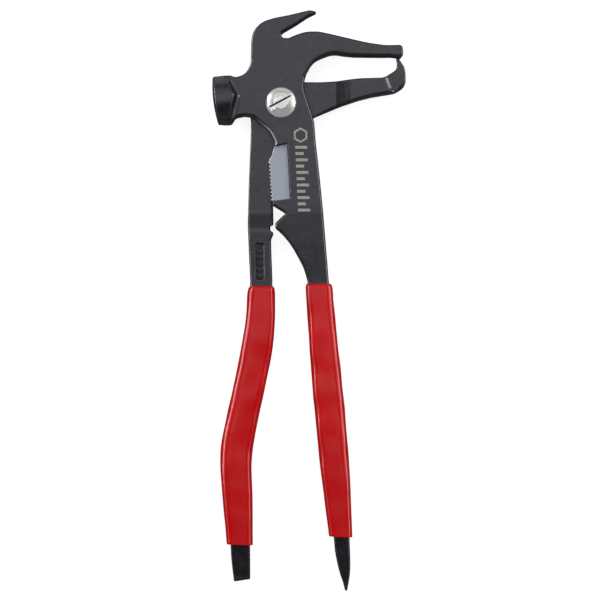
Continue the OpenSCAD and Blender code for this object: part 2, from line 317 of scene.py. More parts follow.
HC, KC = dense(HAMMER_CORE), dense(HOOK_CORE)

BLADE_TOP, BLADE_END = np.array([-5.3, -26.4]), np.array([-4.2, -42.6])

hammer_outline = blended(
    [[15.7, 39.5, 0.5], [11.4, 37.4, 0], [6.2, 34.0, 20], [1.0, 31.1, 2], [-0.3, 29.9, 1.2], [0.8, 28.3, 1.2],
     [3.4, 28.2, 1.5], [6.2, 29.5, 8], [11.0, 31.1, 12], [16.5, 31.2, 12], [24.0, 29.6, 30], [38.0, 26.4, 40],
     [46.0, 25.3, 12], [53.3, 25.5, 1.4], [53.9, 21.5, 2], [52.6, 19.5, 0.9], [48.5, 20.1, 6], [30.0, 20.4, 30],
     [22.5, 21.6, 10], [14.0, 18.2, 10], [10.8, 12.5, 10], [9.7, 6.5, 16], [12.6, -2.0, 16], [14.5, -8.0, 16],
     [15.2, -17.0, 40], [17.0, -33.0, 60], [18.3, -46.0, 60], [19.6, -62.0, 60]]
    + [[b, y, 0] for y, a, b in HC]
    + [[29.0, -214.8, 0.5], [28.3, -214.6, 0.5]]
    + [[a, y, 0] for y, a, b in HC[::-1]]
    + [[9.9, -72.0, 20], [4.7, -62.6, 20], [0.5, -57.6, 10], [-2.4, -55.2, 1.6], [-2.4, -52.8, 1.2], [2.1, -48.6, 0.4],
       [-3.6, -45.2, 0.5], [-3.9, -43.4, 0.4], [-3.4, -42.2, 0], [-4.3, -26.8, 0],
       [-3.4, -22.4, 4], [-2.5, -17.2, 2.5], [-4.9, -12.5, 8], [-9.4, -9.0, 8], [-12.0, -6.6, 3], [-16.0, -6.0, 5],
       [-19.8, -6.8, 3], [-22.0, -9.2, 1], [-25.0, -9.0, 0], [-25.6, 11.6, 0], [-22.4, 11.9, 1], [-20.0, 11.0, 3],
       [-15.6, 12.4, 5], [-13.1, 17.0, 5],
     [-13.0, 26.5, 8], [-12.4, 30.3, 6], [-11.1, 32.6, 6], [-8.9, 34.8, 6], [-6.4, 36.1, 6], [-2.6, 37.2, 12], [4.0, 38.5, 20],
       [12.4, 40.5, 2], [14.6, 40.2, 0.7]])

hook_outline = blended(
    [[8.6, 9.2, 6], [17.0, 9.1, 30], [24.0, 9.5, 30], [34.0, 10.9, 30], [45.6, 11.2, 6], [51.2, 14.8, 2.2],
     [51.0, 18.0, 3], [50.5, 19.66, 0.4], [52.2, 19.26, 0.6], [54.7, 15.0, 9], [54.8, 7.4, 7], [50.0, 4.3, 6],
     [37.0, 2.2, 40], [26.0, -1.5, 40], [15.0, -6.1, 10], [8.0, -9.6, 14], [-1.0, -16.0, 14], [-4.0, -25.0, 12],
     [-3.7, -45.0, 20], [-3.5, -53.6, 0.4], [-4.9, -54.0, 0.7], [-4.9, -56.2, 0.7], [-3.3, -57.2, 0.9], [-4.6, -60.2, 2],
     [-4.5, -65.0, 10], [-4.2, -72.0, 20]]
    + [[b, y, 0] for y, a, b in KC]
    + [[-13.6, -209.6, 0.5], [-20.7, -210.7, 0.5]]
    + [[a, y, 0] for y, a, b in KC[::-1]]
    + [[-13.7, -72.0, 20], [-14.5, -54.0, 40], [-13.9, -32.0, 30], [-13.2, -16.0, 20], [-13.0, -8.0, 10],
       [-14.2, -2.0, 6], [-12.6, 5.0, 6], [-7.6, 11.0, 8], [1.0, 13.4, 8]])

circle = lambda r, n=96: np.array([[r * math.cos(2 * math.pi * i / n), r * math.sin(2 * math.pi * i / n)] for i in range(n)])
POCKET = blended([[-9, -19.9, 0], [-2.9, -18.9, 0.1], [2.8, -17.8, 0.4], [3.4, -25.0, 0], [3.8, -34.0, 0], [4.3, -42.1, 0.4], [-3.6, -43.2, 0.1], [-9, -44.0, 0]])


# ---------------------------------------------------------------- hammer lever

def build_hammer_lever():
    h = FINE
    X = axis_points([(-32.5, -7, h), (-7, 6, h * 0.8), (6, 56, h)])
    Y = axis_points([(-216.5, -188, h), (-188, -86, 2.5), (-86, -47, h), (-47, -16, h * 0.8), (-16, 42, h)])
    Z = axis_points([(0.2, 7, h), (7, 19, h * 0.8), (19, 23.8, h)])
    gx, gy = X[:, None], Y[None, :]
    d = dist2d(hammer_outline, X, Y)
    d = d - 0.15 * (1 - 0.8 * smooth(44, 48, gx) * (gy > 8) * (gy < 22.5))
    sweep = np.minimum(
        dist2d(circle(14.8), X, Y, 40),
        dist2d(np.array([[0, 0.5], [-14.8, 0.5], [-20.0, -7.5], [-20.2, -60], [60, -60], [60, 0.5]]), X, Y, 40)) - 0.4
    # top and back faces
    jaw = soft_ramp(21.5, 29.0, gx, 1.5) * (gy > 8)
    z_top = LAP_A[1] - 1.4 * jaw - 0.9 * lin(30, 54, gx) * (gy > 8)
    z_top = z_top - 1.6 * soft_ramp(-79, -47.5, gy, 1.5)[:, ::1] * 0 - 1.6 * (1 - soft_ramp(-79, -48, gy, 1.5))
    z_top = z_top - 2.8 * (1 - soft_ramp(-213, -189, gy, 1.0))
    z_thin = LAP_A[0] - 4.1 * (1 - soft_ramp(-58, -46, gy, 1.0)) + 2.8 * (1 - soft_ramp(-213, -189, gy, 1.0))
    z_low = ARM[0] + 0.9 * lin(36, 54, gx) + 3.0 * lin(-2, 20, gx) * smooth(31.0, 34.0, gy) + 0 * gy
    # edge radius: wide on the forged head, smaller down the handle, widest along the underside of the jaw
    ny = np.gradient(d, axis=1) / np.gradient(Y)[None, :]
    r = 0.65 + 0.45 * smooth(8, 14, gx) + 0.5 * smooth(-20, -8, gy) * (1 - smooth(8, 14, gx))
    r = r - 0.18 * np.clip(ny, -1, 1) * smooth(-20, -8, gy)
    r = r + 0.5 * smooth(12, 20, gx) * smooth(24.5, 22.5, gy) * (gy > 14)
    r = np.clip(r, 0.5, 2.2)
    zz = Z[None, None, :]
    D, R = d[:, :, None].astype(np.float32), r[:, :, None].astype(np.float32)
    zz = zz.astype(np.float32)
    st = np.hypot(np.gradient(z_top, axis=0) / np.gradient(X)[:, None], np.gradient(z_top, axis=1) / np.gradient(Y)[None, :])
    c_top = (1 / np.sqrt(1 + st * st))[:, :, None].astype(np.float32)
    top = (zz - z_top[:, :, None].astype(np.float32)) * c_top
    lean = (0.065 * (1 - smooth(42, 47, gx) * (gy > 8) * (gy < 23.5)))[:, :, None].astype(np.float32)
    D = D + lean * np.abs(zz - np.float32(12.0))                        # draft: the sides lean in above and below
    side_top = round_and(D, top, R)
    f = round_and(side_top, z_thin[:, :, None].astype(np.float32) - zz, np.float32(0.6))
    dt = np.maximum(d, -sweep)[:, :, None].astype(np.float32)
    thick = round_and(round_and(dt, top, R), z_low[:, :, None].astype(np.float32) - zz, np.float32(0.9))
    thick[:, Y < -2, :] = 50
    n_r = int(np.searchsorted(X, -14))
    back = round_and(round_and(D, top, R), np.float32(ARM[0]) - zz, np.float32(0.9))
    back = np.maximum(back, (gx + 20.1)[:, :, None].astype(np.float32))
    f = np.minimum(np.minimum(f, thick), back)
    # hammer head: a crowned cylinder that meets the neck in two ground shoulders
    m = X < -12
    jm = (Y > -14) & (Y < 18)
    x, y, z = X[m][:, None, None], Y[jm][None, :, None], Z[None, None, :]
    ca, sa = math.cos(math.radians(6)), math.sin(math.radians(6))
    px, py = x + 22.4, y - 1.6
    ha, la = -(px * ca + py * sa), px * sa - py * ca
    rr = np.sqrt(la ** 2 + (z - ZC) ** 2)
    R0, L, CR = 10.8, 6.4, 32.0
    edge = R0 - 0.5
    cyl = rr - R0
    crown = np.sqrt((x - 27.73) ** 2 + (y - 7.92) ** 2 + (z - ZC) ** 2) - 58.0
    az = np.maximum(np.abs(z - ZC) - 5.6, 0)
    p1 = 0.927 * (0.965 * (x + 18.5) - 0.261 * (y - 3.5)) + 0.375 * az
    p2 = 0.927 * (0.86 * (x + 18.5) + 0.51 * (y - 3.5)) + 0.375 * az
    head = round_and(cyl, crown, 0.7)
    head = round_and(head, round_and(p1, p2, 0.4), 0.6).astype(np.float32)
    sub = f[np.ix_(m, jm)]
    foot = (0.25 + 0.75 * smooth(4.2, 2.6, y)).astype(np.float32)
    f[np.ix_(m, jm)] = np.minimum(smooth_or(sub, head, np.float32(0.4)), (sub + head - foot) * np.float32(0.7071))
    # the other arm swings under the neck
    under = np.maximum(sweep, np.abs(gx + 14.5) - 2.0)[:, :, None].astype(np.float32)
    f = np.maximum(f, -np.maximum(under, zz - np.float32(LAP_A[0])))
    # ground pocket, and the bore for the screw's shoulder
    dp = dist2d(POCKET, X, Y)[:, :, None].astype(np.float32)
    f = np.maximum(f, -np.maximum(dp, np.float32(LAP_A[0] + 1.25) - zz))
    rho = np.hypot(gx, gy)[:, :, None].astype(np.float32)
    f = np.maximum(f, np.float32(5.05) - rho)
    v, q = surface(f, X, Y, Z)
    ix, iy = np.clip(np.searchsorted(X, v[:, 0]), 0, len(X) - 1), np.clip(np.searchsorted(Y, v[:, 1]), 0, len(Y) - 1)
    inset = d[ix, iy] - 0.5 * h
    arc_highlight_mask = np.exp(-((inset + 0.80) / 0.42) ** 2) * (v[:, 2] > 16.3)     # painted highlight: a near-white band along the arc edge that lies over the other arm
    arc_highlight_mask = arc_highlight_mask * smooth(-12, -9, v[:, 0]) * smooth(-1, -2, v[:, 0]) * smooth(-6, -8.5, v[:, 1]) * smooth(-22, -18.5, v[:, 1])
    arc_highlight_mask = arc_highlight_mask * (0.30 + 0.70 * smooth(-8.5, -5.0, v[:, 0]))
    # this attribute carries the painted highlight along the arc into the steel's colour
    return add_mesh("hammer_lever_forging", v, q, wear=wear_of(v, q), extra={"painted_arc_highlight": arc_highlight_mask})


# ---------------------------------------------------------------- hook lever

PANEL = blended([[-11.4, -61.8, 0.9], [-7.4, -61.8, 0.9], [-7.2, -77.8, 0.9], [-11.2, -77.8, 0.9]])


def build_hook_lever():
    h = FINE
    X = axis_points([(-27, -12.2, h), (-12.2, -6.4, h * 0.55), (-6.4, 56.5, h)])
    Y = axis_points([(-211.5, -190, h), (-190, -86, 2.5), (-86, -79, h), (-79, -60.5, h * 0.55), (-60.5, 21, h)])
    Z = axis_points([(5.2, 17.2, h * 0.8)])
    gx, gy = X[:, None], Y[None, :]
    d = dist2d(hook_outline, X, Y)
    d = d - 0.22 * (1 - smooth(15.5, 17.5, gy) * (gx > 44))
    jaw = soft_ramp(24.2, 30.6, gx, 0.5) * (gy > -14)
    arm = (1 - soft_ramp(-55.6, -48.2, gy, 1.1)) + 0 * gx
    z_top = LAP_B[1] + np.maximum(3.3 * jaw + 0.7 * lin(30.6, 44, gx) * (gy > -14), 4.0 * arm)
    # the hook drops off the jaw across a slanting bevel, then rolls over
    s = (gx - 47.2) * 0.93 + (gy - 8.4) * 0.367 - 0.035 * (gy - 8.4) ** 2
    z_top = z_top - (1.25 * soft_ramp(-0.75, 0.65, s, 0.30) * smooth(3.8, 6.8, gy) + 0.10 * soft_ramp(1.6, 6.5, s, 0.5)) * (gx > 40)
    z_top = z_top - 0.03 * np.clip(14 - gy, 0, 10) * smooth(0.3, 1.0, s) * (gx > 40)
    z_top = z_top - 0.55 * lin(-57, -80, gy)             # the handle sinks a little towards its sleeve
    z_top = z_top - 3.2 * (1 - soft_ramp(-208, -189, gy, 1.0))
    z_bot = LAP_B[0] + 1.5 * np.maximum(soft_ramp(22, 28, gx, 0.6) * (gy > -14), 1 - soft_ramp(-54, -46, gy, 0.8))
    z_bot = z_bot + 1.6 * soft_ramp(-0.8, 0.8, s, 0.35) * (gx > 40) + 3.2 * (1 - soft_ramp(-208, -189, gy, 1.0))
    ny = np.gradient(d, axis=1) / np.gradient(Y)[None, :]
    r = 0.75 + 0.3 * smooth(14, 20, gx) * (gy > -14) + 0 * gy
    r = r - 0.4 * np.clip(ny, -1, 1) * smooth(14, 20, gx) * (gy > -14)
    r = np.where((np.abs(gy + 55.5) < 5) & (gx > -7), 0.35, r)
    r = np.clip(r, 0.35, 1.8)
    zz = Z[None, None, :].astype(np.float32)
    D, R = d[:, :, None].astype(np.float32), r[:, :, None].astype(np.float32)
    def slope(z):
        g = np.hypot(np.gradient(z, axis=0) / np.gradient(X)[:, None], np.gradient(z, axis=1) / np.gradient(Y)[None, :])
        return (1 / np.sqrt(1 + g * g))[:, :, None].astype(np.float32)
    top = (zz - z_top[:, :, None].astype(np.float32)) * slope(z_top)
    bot = (z_bot[:, :, None].astype(np.float32) - zz) * slope(z_bot)
    lean = (0.065 * (1 - smooth(13.5, 16.5, gy) * (gx > 44)))[:, :, None].astype(np.float32)
    D = D + lean * np.abs(zz - np.float32(10.5))
    f = round_and(round_and(D, top, R), bot, np.float32(0.6))
    # sunk panel with plain raised bars
    dp = dist2d(PANEL, X, Y)
    bars = np.full_like(dp, 6.0)
    for i in range(5):
        y0 = -64.7 - 2.75 * i
        for a, b in (((-10.6, -7.9),) if i % 2 == 0 else ((-10.6, -9.7), (-8.9, -8.0))):
            bars = np.minimum(bars, dist2d(blended([[a, y0, 0.3], [b, y0, 0.3], [b, y0 - 1.3, 0.3], [a, y0 - 1.3, 0.3]]), X, Y, 4))
    deep = z_top - 0.80
    nx = np.gradient(dp, axis=0) / np.gradient(X)[:, None]
    wall = np.where(nx > 0.5, 0.90 * np.clip(dp + 0.62, 0, None), 3.0 * np.clip(dp + 0.16, 0, None))
    floor = deep + 0.34 * (1 - smooth(-0.15, 0.25, bars)) + wall
    cut = np.maximum(dp[:, :, None].astype(np.float32), floor[:, :, None].astype(np.float32) - zz)
    f = np.maximum(f, -cut)
    rho = np.hypot(gx, gy)[:, :, None].astype(np.float32)
    f = np.maximum(f, np.float32(4.05) - rho)
    v, q = surface(f, X, Y, Z)
    ix, iy = np.clip(np.searchsorted(X, v[:, 0]), 0, len(X) - 1), np.clip(np.searchsorted(Y, v[:, 1]), 0, len(Y) - 1)
    pit = (1 - smooth(-0.5, 0.0, dp[ix, iy])) * (v[:, 2] > 12)
    return add_mesh("hook_lever_forging", v, q, wear=wear_of(v, q), extra={"pit": pit})


# ---------------------------------------------------------------- lathe-like small parts by field

def build_screw():
    h = 0.125
    r, hh, z0 = 6.9, 3.6, LAP_A[1] + 0.1
    X = axis_points([(-7.4, 7.4, h)])
    Y = X.copy()
    Z = axis_points([(z0 - 0.6, z0 + hh + 0.5, h)])
    x, y, z = X[:, None, None], Y[None, :, None], Z[None, None, :]
    rho = np.sqrt(x * x + y * y) + 0 * z
    zz = z - z0 + 0 * rho
    # dome above a short cylindrical rim, then a flat turned disc
    R = 9.2
    dome = np.sqrt(rho ** 2 + (zz - (hh + 0.15 - R)) ** 2) - R
    f = round_and(round_and(rho - r, dome, 0.9), -zz, 0.3)
    ring = np.hypot(rho - 3.45, zz - hh - 0.02) - 0.42                   # turned groove round the central disc
    f = np.maximum(f, -ring)
    disc = round_and(rho - 2.95, zz - hh, 0.18)
    disc = np.maximum(disc, 1.5 - zz)
    f = smooth_or(f, disc, 0.12)
    a = math.radians(28.5)
    across = -x * math.sin(a) + y * math.cos(a) + 0 * z
    slot = np.maximum(np.abs(across + 0.15) - 0.95, (hh - 1.75) - zz)
    f = np.maximum(f, -slot)
    burr = np.maximum(np.abs(across - 0.57) - 0.23, (hh - 3.1) - zz)      # the cutter left a deeper line along one wall
    f = np.maximum(f, -burr)
    v, q = surface(f.astype(np.float32), X, Y, Z)
    head = add_mesh("pivot_screw_head", v, q, wear=wear_of(v, q, 0.5, 2.5), extra={
        "dull": smooth(2.9, 3.15, np.hypot(v[:, 0], v[:, 1])),
        # cut: the band along the slot's deeper line that gets painted shadow
        "cut": smooth(0.40, 0.27, np.abs(v[:, 1] * math.cos(a) - v[:, 0] * math.sin(a) - 0.57))
        * smooth(5.6, 5.0, np.hypot(v[:, 0], v[:, 1]))})
    # shoulder and threaded end: a lathe profile with a cut thread's crests
    prof = [(0, 0.0), (3.4, 0.0), (4.0, 0.6)]
    zt = 0.6
    while zt < LAP_B[1] - 0.8:
        prof += [(4.0, zt + 0.15), (3.55, zt + 0.6), (3.55, zt + 0.7), (4.0, zt + 1.1)]
        zt += 1.25
    prof += [(4.0, LAP_B[1] + 0.05), (4.8, LAP_B[1] + 0.05), (5.0, LAP_B[1] + 0.25), (5.0, z0 + 0.2), (0, z0 + 0.2)]
    v, fcs = lathe(prof, 72)
    shank = add_mesh("pivot_screw_shank", v, fcs, smooth_shade=False)
    return head, shank


def lathe(prof, n):
    verts, faces = [], []
    rings = []
    for r, z in prof:
        if r <= 1e-9:
            rings.append([len(verts)])
            verts.append((0, 0, z))
        else:
            rings.append(list(range(len(verts), len(verts) + n)))
            for i in range(n):
                t = 2 * math.pi * i / n
                verts.append((r * math.cos(t), r * math.sin(t), z))
    for a, b in zip(rings[:-1], rings[1:]):
        for i in range(n):
            j = (i + 1) % n
            if len(a) == 1 and len(b) == 1:
                continue
            if len(a) == 1:
                faces.append((a[0], b[j], b[i]))
            elif len(b) == 1:
                faces.append((a[i], a[j], b[0]))
            else:
                faces.append((a[i], a[j], b[j], b[i]))
    return verts, faces


def build_nut():
    h = 0.14
    X = axis_points([(-8, 8, h)])
    Z = axis_points([(-0.5, 7.0, h)])
    x, y, z = X[:, None, None], X[None, :, None], Z[None, None, :]
    f = np.full((len(X), len(X), len(Z)), -9.0)
    for k in range(6):
        a = math.radians(30 + 60 * k)
        f = round_and(f, x * math.cos(a) + y * math.sin(a) - 6.5 + 0 * z, 0.25)
    rho = np.sqrt(x * x + y * y) + 0 * z
    cham = (rho - 6.35) * 0.5 - z * 0.866
    cham2 = (rho - 6.35) * 0.5 - (6.45 - z) * 0.866
    f = round_and(round_and(f, -z + 0 * rho, 0.12), z - 6.48 + 0 * rho, 0.12)
    f = round_and(round_and(f, cham, 0.15), cham2, 0.15)
    f = round_and(f, 4.05 - rho, 0.12)
    f = np.maximum(f, (4.9 - rho) * 0.707 - z * 0.707)
    v, q = surface(f.astype(np.float32), X, X, Z)
    return add_mesh("pivot_nut_hex", v, q, wear=wear_of(v, q, 0.5, 2.5))


# ---------------------------------------------------------------- ground shear blade

def build_blade():
    n, depth = 10, 0.55
    edge = []
    span = BLADE_END - BLADE_TOP
    nrm = np.array([-span[1], span[0]]) / np.linalg.norm(span)      # points to +X, into the blade
    if nrm[0] < 0:
        nrm = -nrm
    steps = n * 10
    for i in range(steps + 1):
        t = i / steps
        ph = (t * n) % 1.0
        wave = 0.5 - 0.5 * math.cos(2 * math.pi * ph)
        edge.append(BLADE_TOP + span * t + nrm * depth * (wave ** 1.4))
    lead = [(-3.0, -19.15), (-3.3, -20.6), (-3.7, -22.2), (-4.4, -23.9), (-5.0, -25.0), (-5.25, -25.8)]
    outline = lead + [tuple(e) for e in edge] + [(-4.0, -43.1), (0.0, -42.75), (4.05, -42.25), (3.62, -34.0), (3.2, -25.0), (2.66, -17.98), (0.0, -18.5)]
    outline = np.array(outline)
    top, bot, ch = LAP_A[0] + 1.5, LAP_A[0] + 0.05, 0.12
    m = len(outline)
    prev, nxt = np.roll(outline, 1, 0), np.roll(outline, -1, 0)
    tan = nxt - prev
    tan /= np.linalg.norm(tan, axis=1)[:, None]
    inw = np.stack([-tan[:, 1], tan[:, 0]], 1)                      # left of a counter-clockwise walk
    area = 0.5 * np.sum(outline[:, 0] * nxt[:, 1] - nxt[:, 0] * outline[:, 1])
    if area < 0:
        inw = -inw
    inner = outline + inw * ch
    rings = [np.c_[outline, np.full(m, bot)], np.c_[outline, np.full(m, top - ch)], np.c_[inner, np.full(m, top)]]
    verts = np.concatenate(rings)
    faces = []
    for k in range(2):
        for i in range(m):
            j = (i + 1) % m
            f = (k * m + i, k * m + j, (k + 1) * m + j, (k + 1) * m + i)
            faces.append(f if area > 0 else f[::-1])
    capt = tuple(2 * m + i for i in range(m))
    capb = tuple(range(m - 1, -1, -1))
    if area < 0:
        capt, capb = capt[::-1], capb[::-1]
    faces += [capt, capb]
    me = bpy.data.meshes.new("ground_shear_blade")
    me.from_pydata([tuple(v * MM) for v in verts], [], faces)
    me.update()
    import bmesh
    bm = bmesh.new()
    bm.from_mesh(me)
    bmesh.ops.triangulate(bm, faces=[f for f in bm.faces if len(f.verts) > 4], ngon_method="BEAUTY")
    bmesh.ops.recalc_face_normals(bm, faces=bm.faces)
    bm.to_mesh(me)
    bm.free()
    o = bpy.data.objects.new("ground_shear_blade", me)
    scene.collection.objects.link(o)
    return o


# ---------------------------------------------------------------- dipped sleeves

# [y, left x, right x]
HAMMER_SLEEVE = [
    (-79.5, 11.2, 22.1), (-80.3, 11.0, 22.4), (-82.3, 11.0, 22.7), (-87.6, 11.3, 23.1), (-92.8, 11.6, 23.6), (-98.1, 12.0, 24.1),
    (-103.4, 12.4, 24.7), (-108.7, 12.7, 25.2), (-114.0, 13.1, 25.8), (-119.2, 13.5, 26.4), (-124.5, 13.9, 26.9),
    (-129.8, 14.3, 27.5), (-135.1, 14.9, 28.0), (-140.4, 15.4, 28.4), (-145.6, 15.9, 28.9), (-150.9, 16.4, 29.3),
    (-156.2, 16.9, 29.7), (-161.5, 17.5, 30.1), (-166.8, 18.2, 30.4), (-172.0, 18.9, 30.6), (-177.3, 19.5, 30.8),
    (-182.6, 20.2, 31.0), (-187.9, 20.9, 31.2), (-190.4, 21.2, 31.3), (-190.8, 21.3, 31.3)]
HOOK_SLEEVE = [
    (-80.6, -13.9, -3.3), (-81.3, -14.2, -3.0), (-83.0, -14.6, -2.8), (-87.6, -14.9, -2.7), (-92.8, -15.3, -2.7), (-98.1, -15.9, -2.9),
    (-103.4, -16.8, -3.3), (-108.7, -17.7, -3.9), (-114.0, -18.6, -4.8), (-119.2, -19.7, -5.9), (-124.5, -20.9, -7.0),
    (-129.8, -22.0, -8.1), (-135.1, -23.2, -9.3), (-140.4, -24.4, -10.4), (-145.6, -25.5, -11.4), (-150.9, -26.3, -12.3),
    (-156.2, -26.6, -12.9), (-161.5, -26.6, -13.1), (-166.8, -26.2, -12.9), (-172.0, -25.8, -12.7), (-180.0, -25.1, -12.6),
    (-187.9, -24.3, -12.6), (-193.8, -23.85, -12.55), (-194.3, -23.8, -12.55)]


def build_sleeve(name, table, core, bumps, outer, skew):
    """A dipped sleeve: outside skin, rounded mouths, and the inside wall against the handle."""
    T = np.array(table)[::-1]
    C = np.array(core)[::-1]
    y0, y1 = T[0, 0], T[-1, 0]
    n_side = 96
    main = np.linspace(y0, y1, 150)
    th = np.arange(n_side) / n_side * 2 * math.pi
    c, s = np.cos(th), np.sin(th)
    rings = []
    rng = np.random.RandomState(7 if outer > 0 else 11)
    k1, k2, ph1, ph2 = 0.21, 0.47, rng.rand() * 6, rng.rand() * 6

    def section(y, grow=0.0, squeeze=1.0):
        xl, xr = float(spline(T[:, 0], T[:, 1], [y])[0]) - 0.12, float(spline(T[:, 0], T[:, 2], [y])[0]) + 0.12
        cx, a = (xl + xr) / 2, (xr - xl) / 2 + grow
        b = 6.0 * squeeze + grow
        # superellipse: a bar with well rounded corners
        swell = sum(math.exp(-((y - yb) / 5.6) ** 2) for yb in bumps)
        e = 0.58 + 0.16 * swell
        X = a * np.sign(c) * np.abs(c) ** e
        Z = b * np.sign(s) * np.abs(s) ** e
        # finger swells along the outer flank, with slack hollows between them
        up = np.abs(s)
        wave = sum(math.exp(-((y - yb) / 5.6) ** 2) for yb in bumps)
        fade = 1 / (1 + math.exp(-(y + 163) / 3.0))
        flank = np.clip(outer * c, 0, 1) ** 0.8
        X = X + outer * (0.16 * wave - 0.08 * fade) * flank * np.exp(-max(0, y - (y1 - 6)) / 2)
        Z = Z - np.sign(s) * (0.34 * (1 - wave) * fade - 0.06) * np.exp(-((outer * c - 0.74) / 0.26) ** 2) * up
        # the bar inside shows through as a long soft valley and ridge
        Z = Z - np.sign(s) * (0.30 + 0.10 * math.sin(k1 * y + ph1)) * np.exp(-((outer * c + 0.22) / 0.26) ** 2) * up * (0.45 + 0.55 * fade)
        Z = Z * (1 + 0.006 * math.sin(k2 * y + ph2))
        return np.stack([cx + X, np.full(n_side, y), ZC + Z], 1)

    def inner(y, gap):
        xl, xr = float(spline(C[:, 0], C[:, 1], [y])[0]) - gap, float(spline(C[:, 0], C[:, 2], [y])[0]) + gap
        cx, a, b, e = (xl + xr) / 2, (xr - xl) / 2, 4.0 + gap, 0.22
        return np.stack([cx + a * np.sign(c) * np.abs(c) ** e, np.full(n_side, y), ZC + b * np.sign(s) * np.abs(s) ** e], 1)

    # inside wall near both mouths, then over the rounded lips, then the outside
    path = []
    lip = 1.3
    path.append(inner(y0 + 6, 0.05))
    path.append(inner(y0 + 0.9, 0.05))
    path.append(inner(y0 + 0.25, 0.18))
    for i in range(5):                                   # bottom mouth, cut square with a soft rim
        t = (i + 0.5) / 5 * math.pi / 2
        path.append(section(y0 + 0.14 * (1 - math.cos(t)), grow=-0.14 * (1 - math.sin(t))))
    body = main[(main > y0 + 0.5) & (main < y1 - 2.4)]
    for y in body:
        path.append(section(float(y)))
    for i in range(9):                                   # top mouth: the dip runs out to a thin rounded lip
        t = i / 8
        y = y1 - 2.4 + 2.4 * math.sin(t * math.pi / 2)
        path.append(section(min(y, y1), grow=-0.35 * (1 - math.cos(t * math.pi / 2)), squeeze=1 - 0.17 * (1 - math.cos(t * math.pi / 2))))
    path.append(inner(y1 + 0.02, 0.25))
    path.append(inner(y1 - 0.3, 0.06))
    for y in np.linspace(y1 - 6, y0 + 6, 34)[:-1]:       # the inside wall follows the bar back down
        path.append(inner(float(y), 0.05))
    V = np.array(path)
    if skew:
        w = np.exp(-np.maximum(0, V[:, :, 1] - y0) / 3.0)
        V[:, :, 1] += w * skew * (V[:, :, 0] - V[:, :, 0].mean(1, keepdims=True))
    m = len(V)
    idx = np.arange(m * n_side).reshape(m, n_side)
    a, b = idx[:-1], idx[1:]
    q = np.stack([a, np.roll(a, -1, 1), np.roll(b, -1, 1), b], -1).reshape(-1, 4)
    # join the two inside ends with one long wall
    a, b = idx[-1], idx[0]
    q2 = np.stack([a, np.roll(a, -1), np.roll(b, -1), b], -1)
    q = np.concatenate([q, q2])
    v = V.reshape(-1, 3)
    # outward check on a top vertex of the middle ring
    k, vn = curvature(v, q)
    mid = idx[m // 2, n_side // 4]
    if vn[mid, 2] < 0:
        q = q[:, ::-1]
    return add_mesh(name, v, q)


# ---------------------------------------------------------------- pale etched marks: plain shapes only

def build_marks():
    z = LAP_A[1]
    verts, faces = [], []

    def top_z(x, y):
        return z - 1.6 * float(1 - soft_ramp(-79, -48, np.array([y]), 1.5)[0]) + 0.015

    def plate(pts):
        """A thin inlay with the given outline."""
        n, b = len(pts), len(verts)
        for p in pts:
            verts.append((p[0], p[1], top_z(*p)))
        for p in pts:
            verts.append((p[0], p[1], top_z(*p) - 0.06))
        faces.append(tuple(b + i for i in range(n)))
        faces.append(tuple(b + n + i for i in reversed(range(n))))
        for i in range(n):
            j = (i + 1) % n
            faces.append((b + i, b + n + i, b + n + j, b + j))

    def at(u, y):
        """Across the handle by u from its line of marks, at height y."""
        return (u + 8.7 - 0.045 * (y + 14), y)

    cx, cy, ro, ri = 8.6, -14.3, 3.4, 2.45               # a plain hexagon, pointing up
    for i in range(6):
        a0, a1 = math.pi / 3 * i + math.pi / 6, math.pi / 3 * (i + 1) + math.pi / 6
        plate([(cx + ri * math.cos(a0), cy + ri * math.sin(a0)), (cx + ro * math.cos(a0), cy + ro * math.sin(a0)),
               (cx + ro * math.cos(a1), cy + ro * math.sin(a1)), (cx + ri * math.cos(a1), cy + ri * math.sin(a1))])
    for i in range(11):                                  # a plain scale of long and short bars
        y, w = -19.0 - 2.76 * i, (5.3 if i % 2 == 0 else 3.6)
        plate([at(-2.7, y - 1.25), at(-2.7 + w, y - 1.25), at(-2.7 + w, y), at(-2.7, y)])
    return add_mesh("etched_plain_marks", verts, faces, smooth_shade=False)


# ---------------------------------------------------------------- materials

def nodes_of(name):
    m = bpy.data.materials.new(name)
    m.use_nodes = True
    nt = m.node_tree
    nt.nodes.clear()
    out = nt.nodes.new("ShaderNodeOutputMaterial")
    bsdf = nt.nodes.new("ShaderNodeBsdfPrincipled")
    nt.links.new(bsdf.outputs[0], out.inputs[0])
    return m, nt, bsdf


def N(nt, kind, **kw):
    n = nt.nodes.new(kind)
    for k, v in kw.items():
        setattr(n, k, v)
    return n


def noise(nt, vec, scale, detail=3.0, rough=0.55, dist=0.0):
    n = nt.nodes.new("ShaderNodeTexNoise")
    n.inputs["Scale"].default_value = scale
    n.inputs["Detail"].default_value = detail
    n.inputs["Roughness"].default_value = rough
    n.inputs["Distortion"].default_value = dist
    nt.links.new(vec, n.inputs["Vector"])
    return n.outputs["Fac"]


def ramp(nt, fac, stops):
    r = nt.nodes.new("ShaderNodeValToRGB")
    el = r.color_ramp.elements
    while len(el) > 1:
        el.remove(el[-1])
    el[0].position, el[0].color = stops[0][0], (*stops[0][1], 1)
    for p, col in stops[1:]:
        e = el.new(p)
        e.color = (*col, 1)
    nt.links.new(fac, r.inputs[0])
    return r.outputs[0]


def mix_col(nt, fac, a, b, mode="MIX"):
    m = nt.nodes.new("ShaderNodeMix")
    m.data_type, m.blend_type = "RGBA", mode
    for sock, val in ((m.inputs[0], fac), (m.inputs[6], a), (m.inputs[7], b)):
        if isinstance(val, (float, int)):
            sock.default_value = val
        elif isinstance(val, tuple):
            sock.default_value = (*val, 1) if len(val) == 3 else val
        else:
            nt.links.new(val, sock)
    return m.outputs[2]


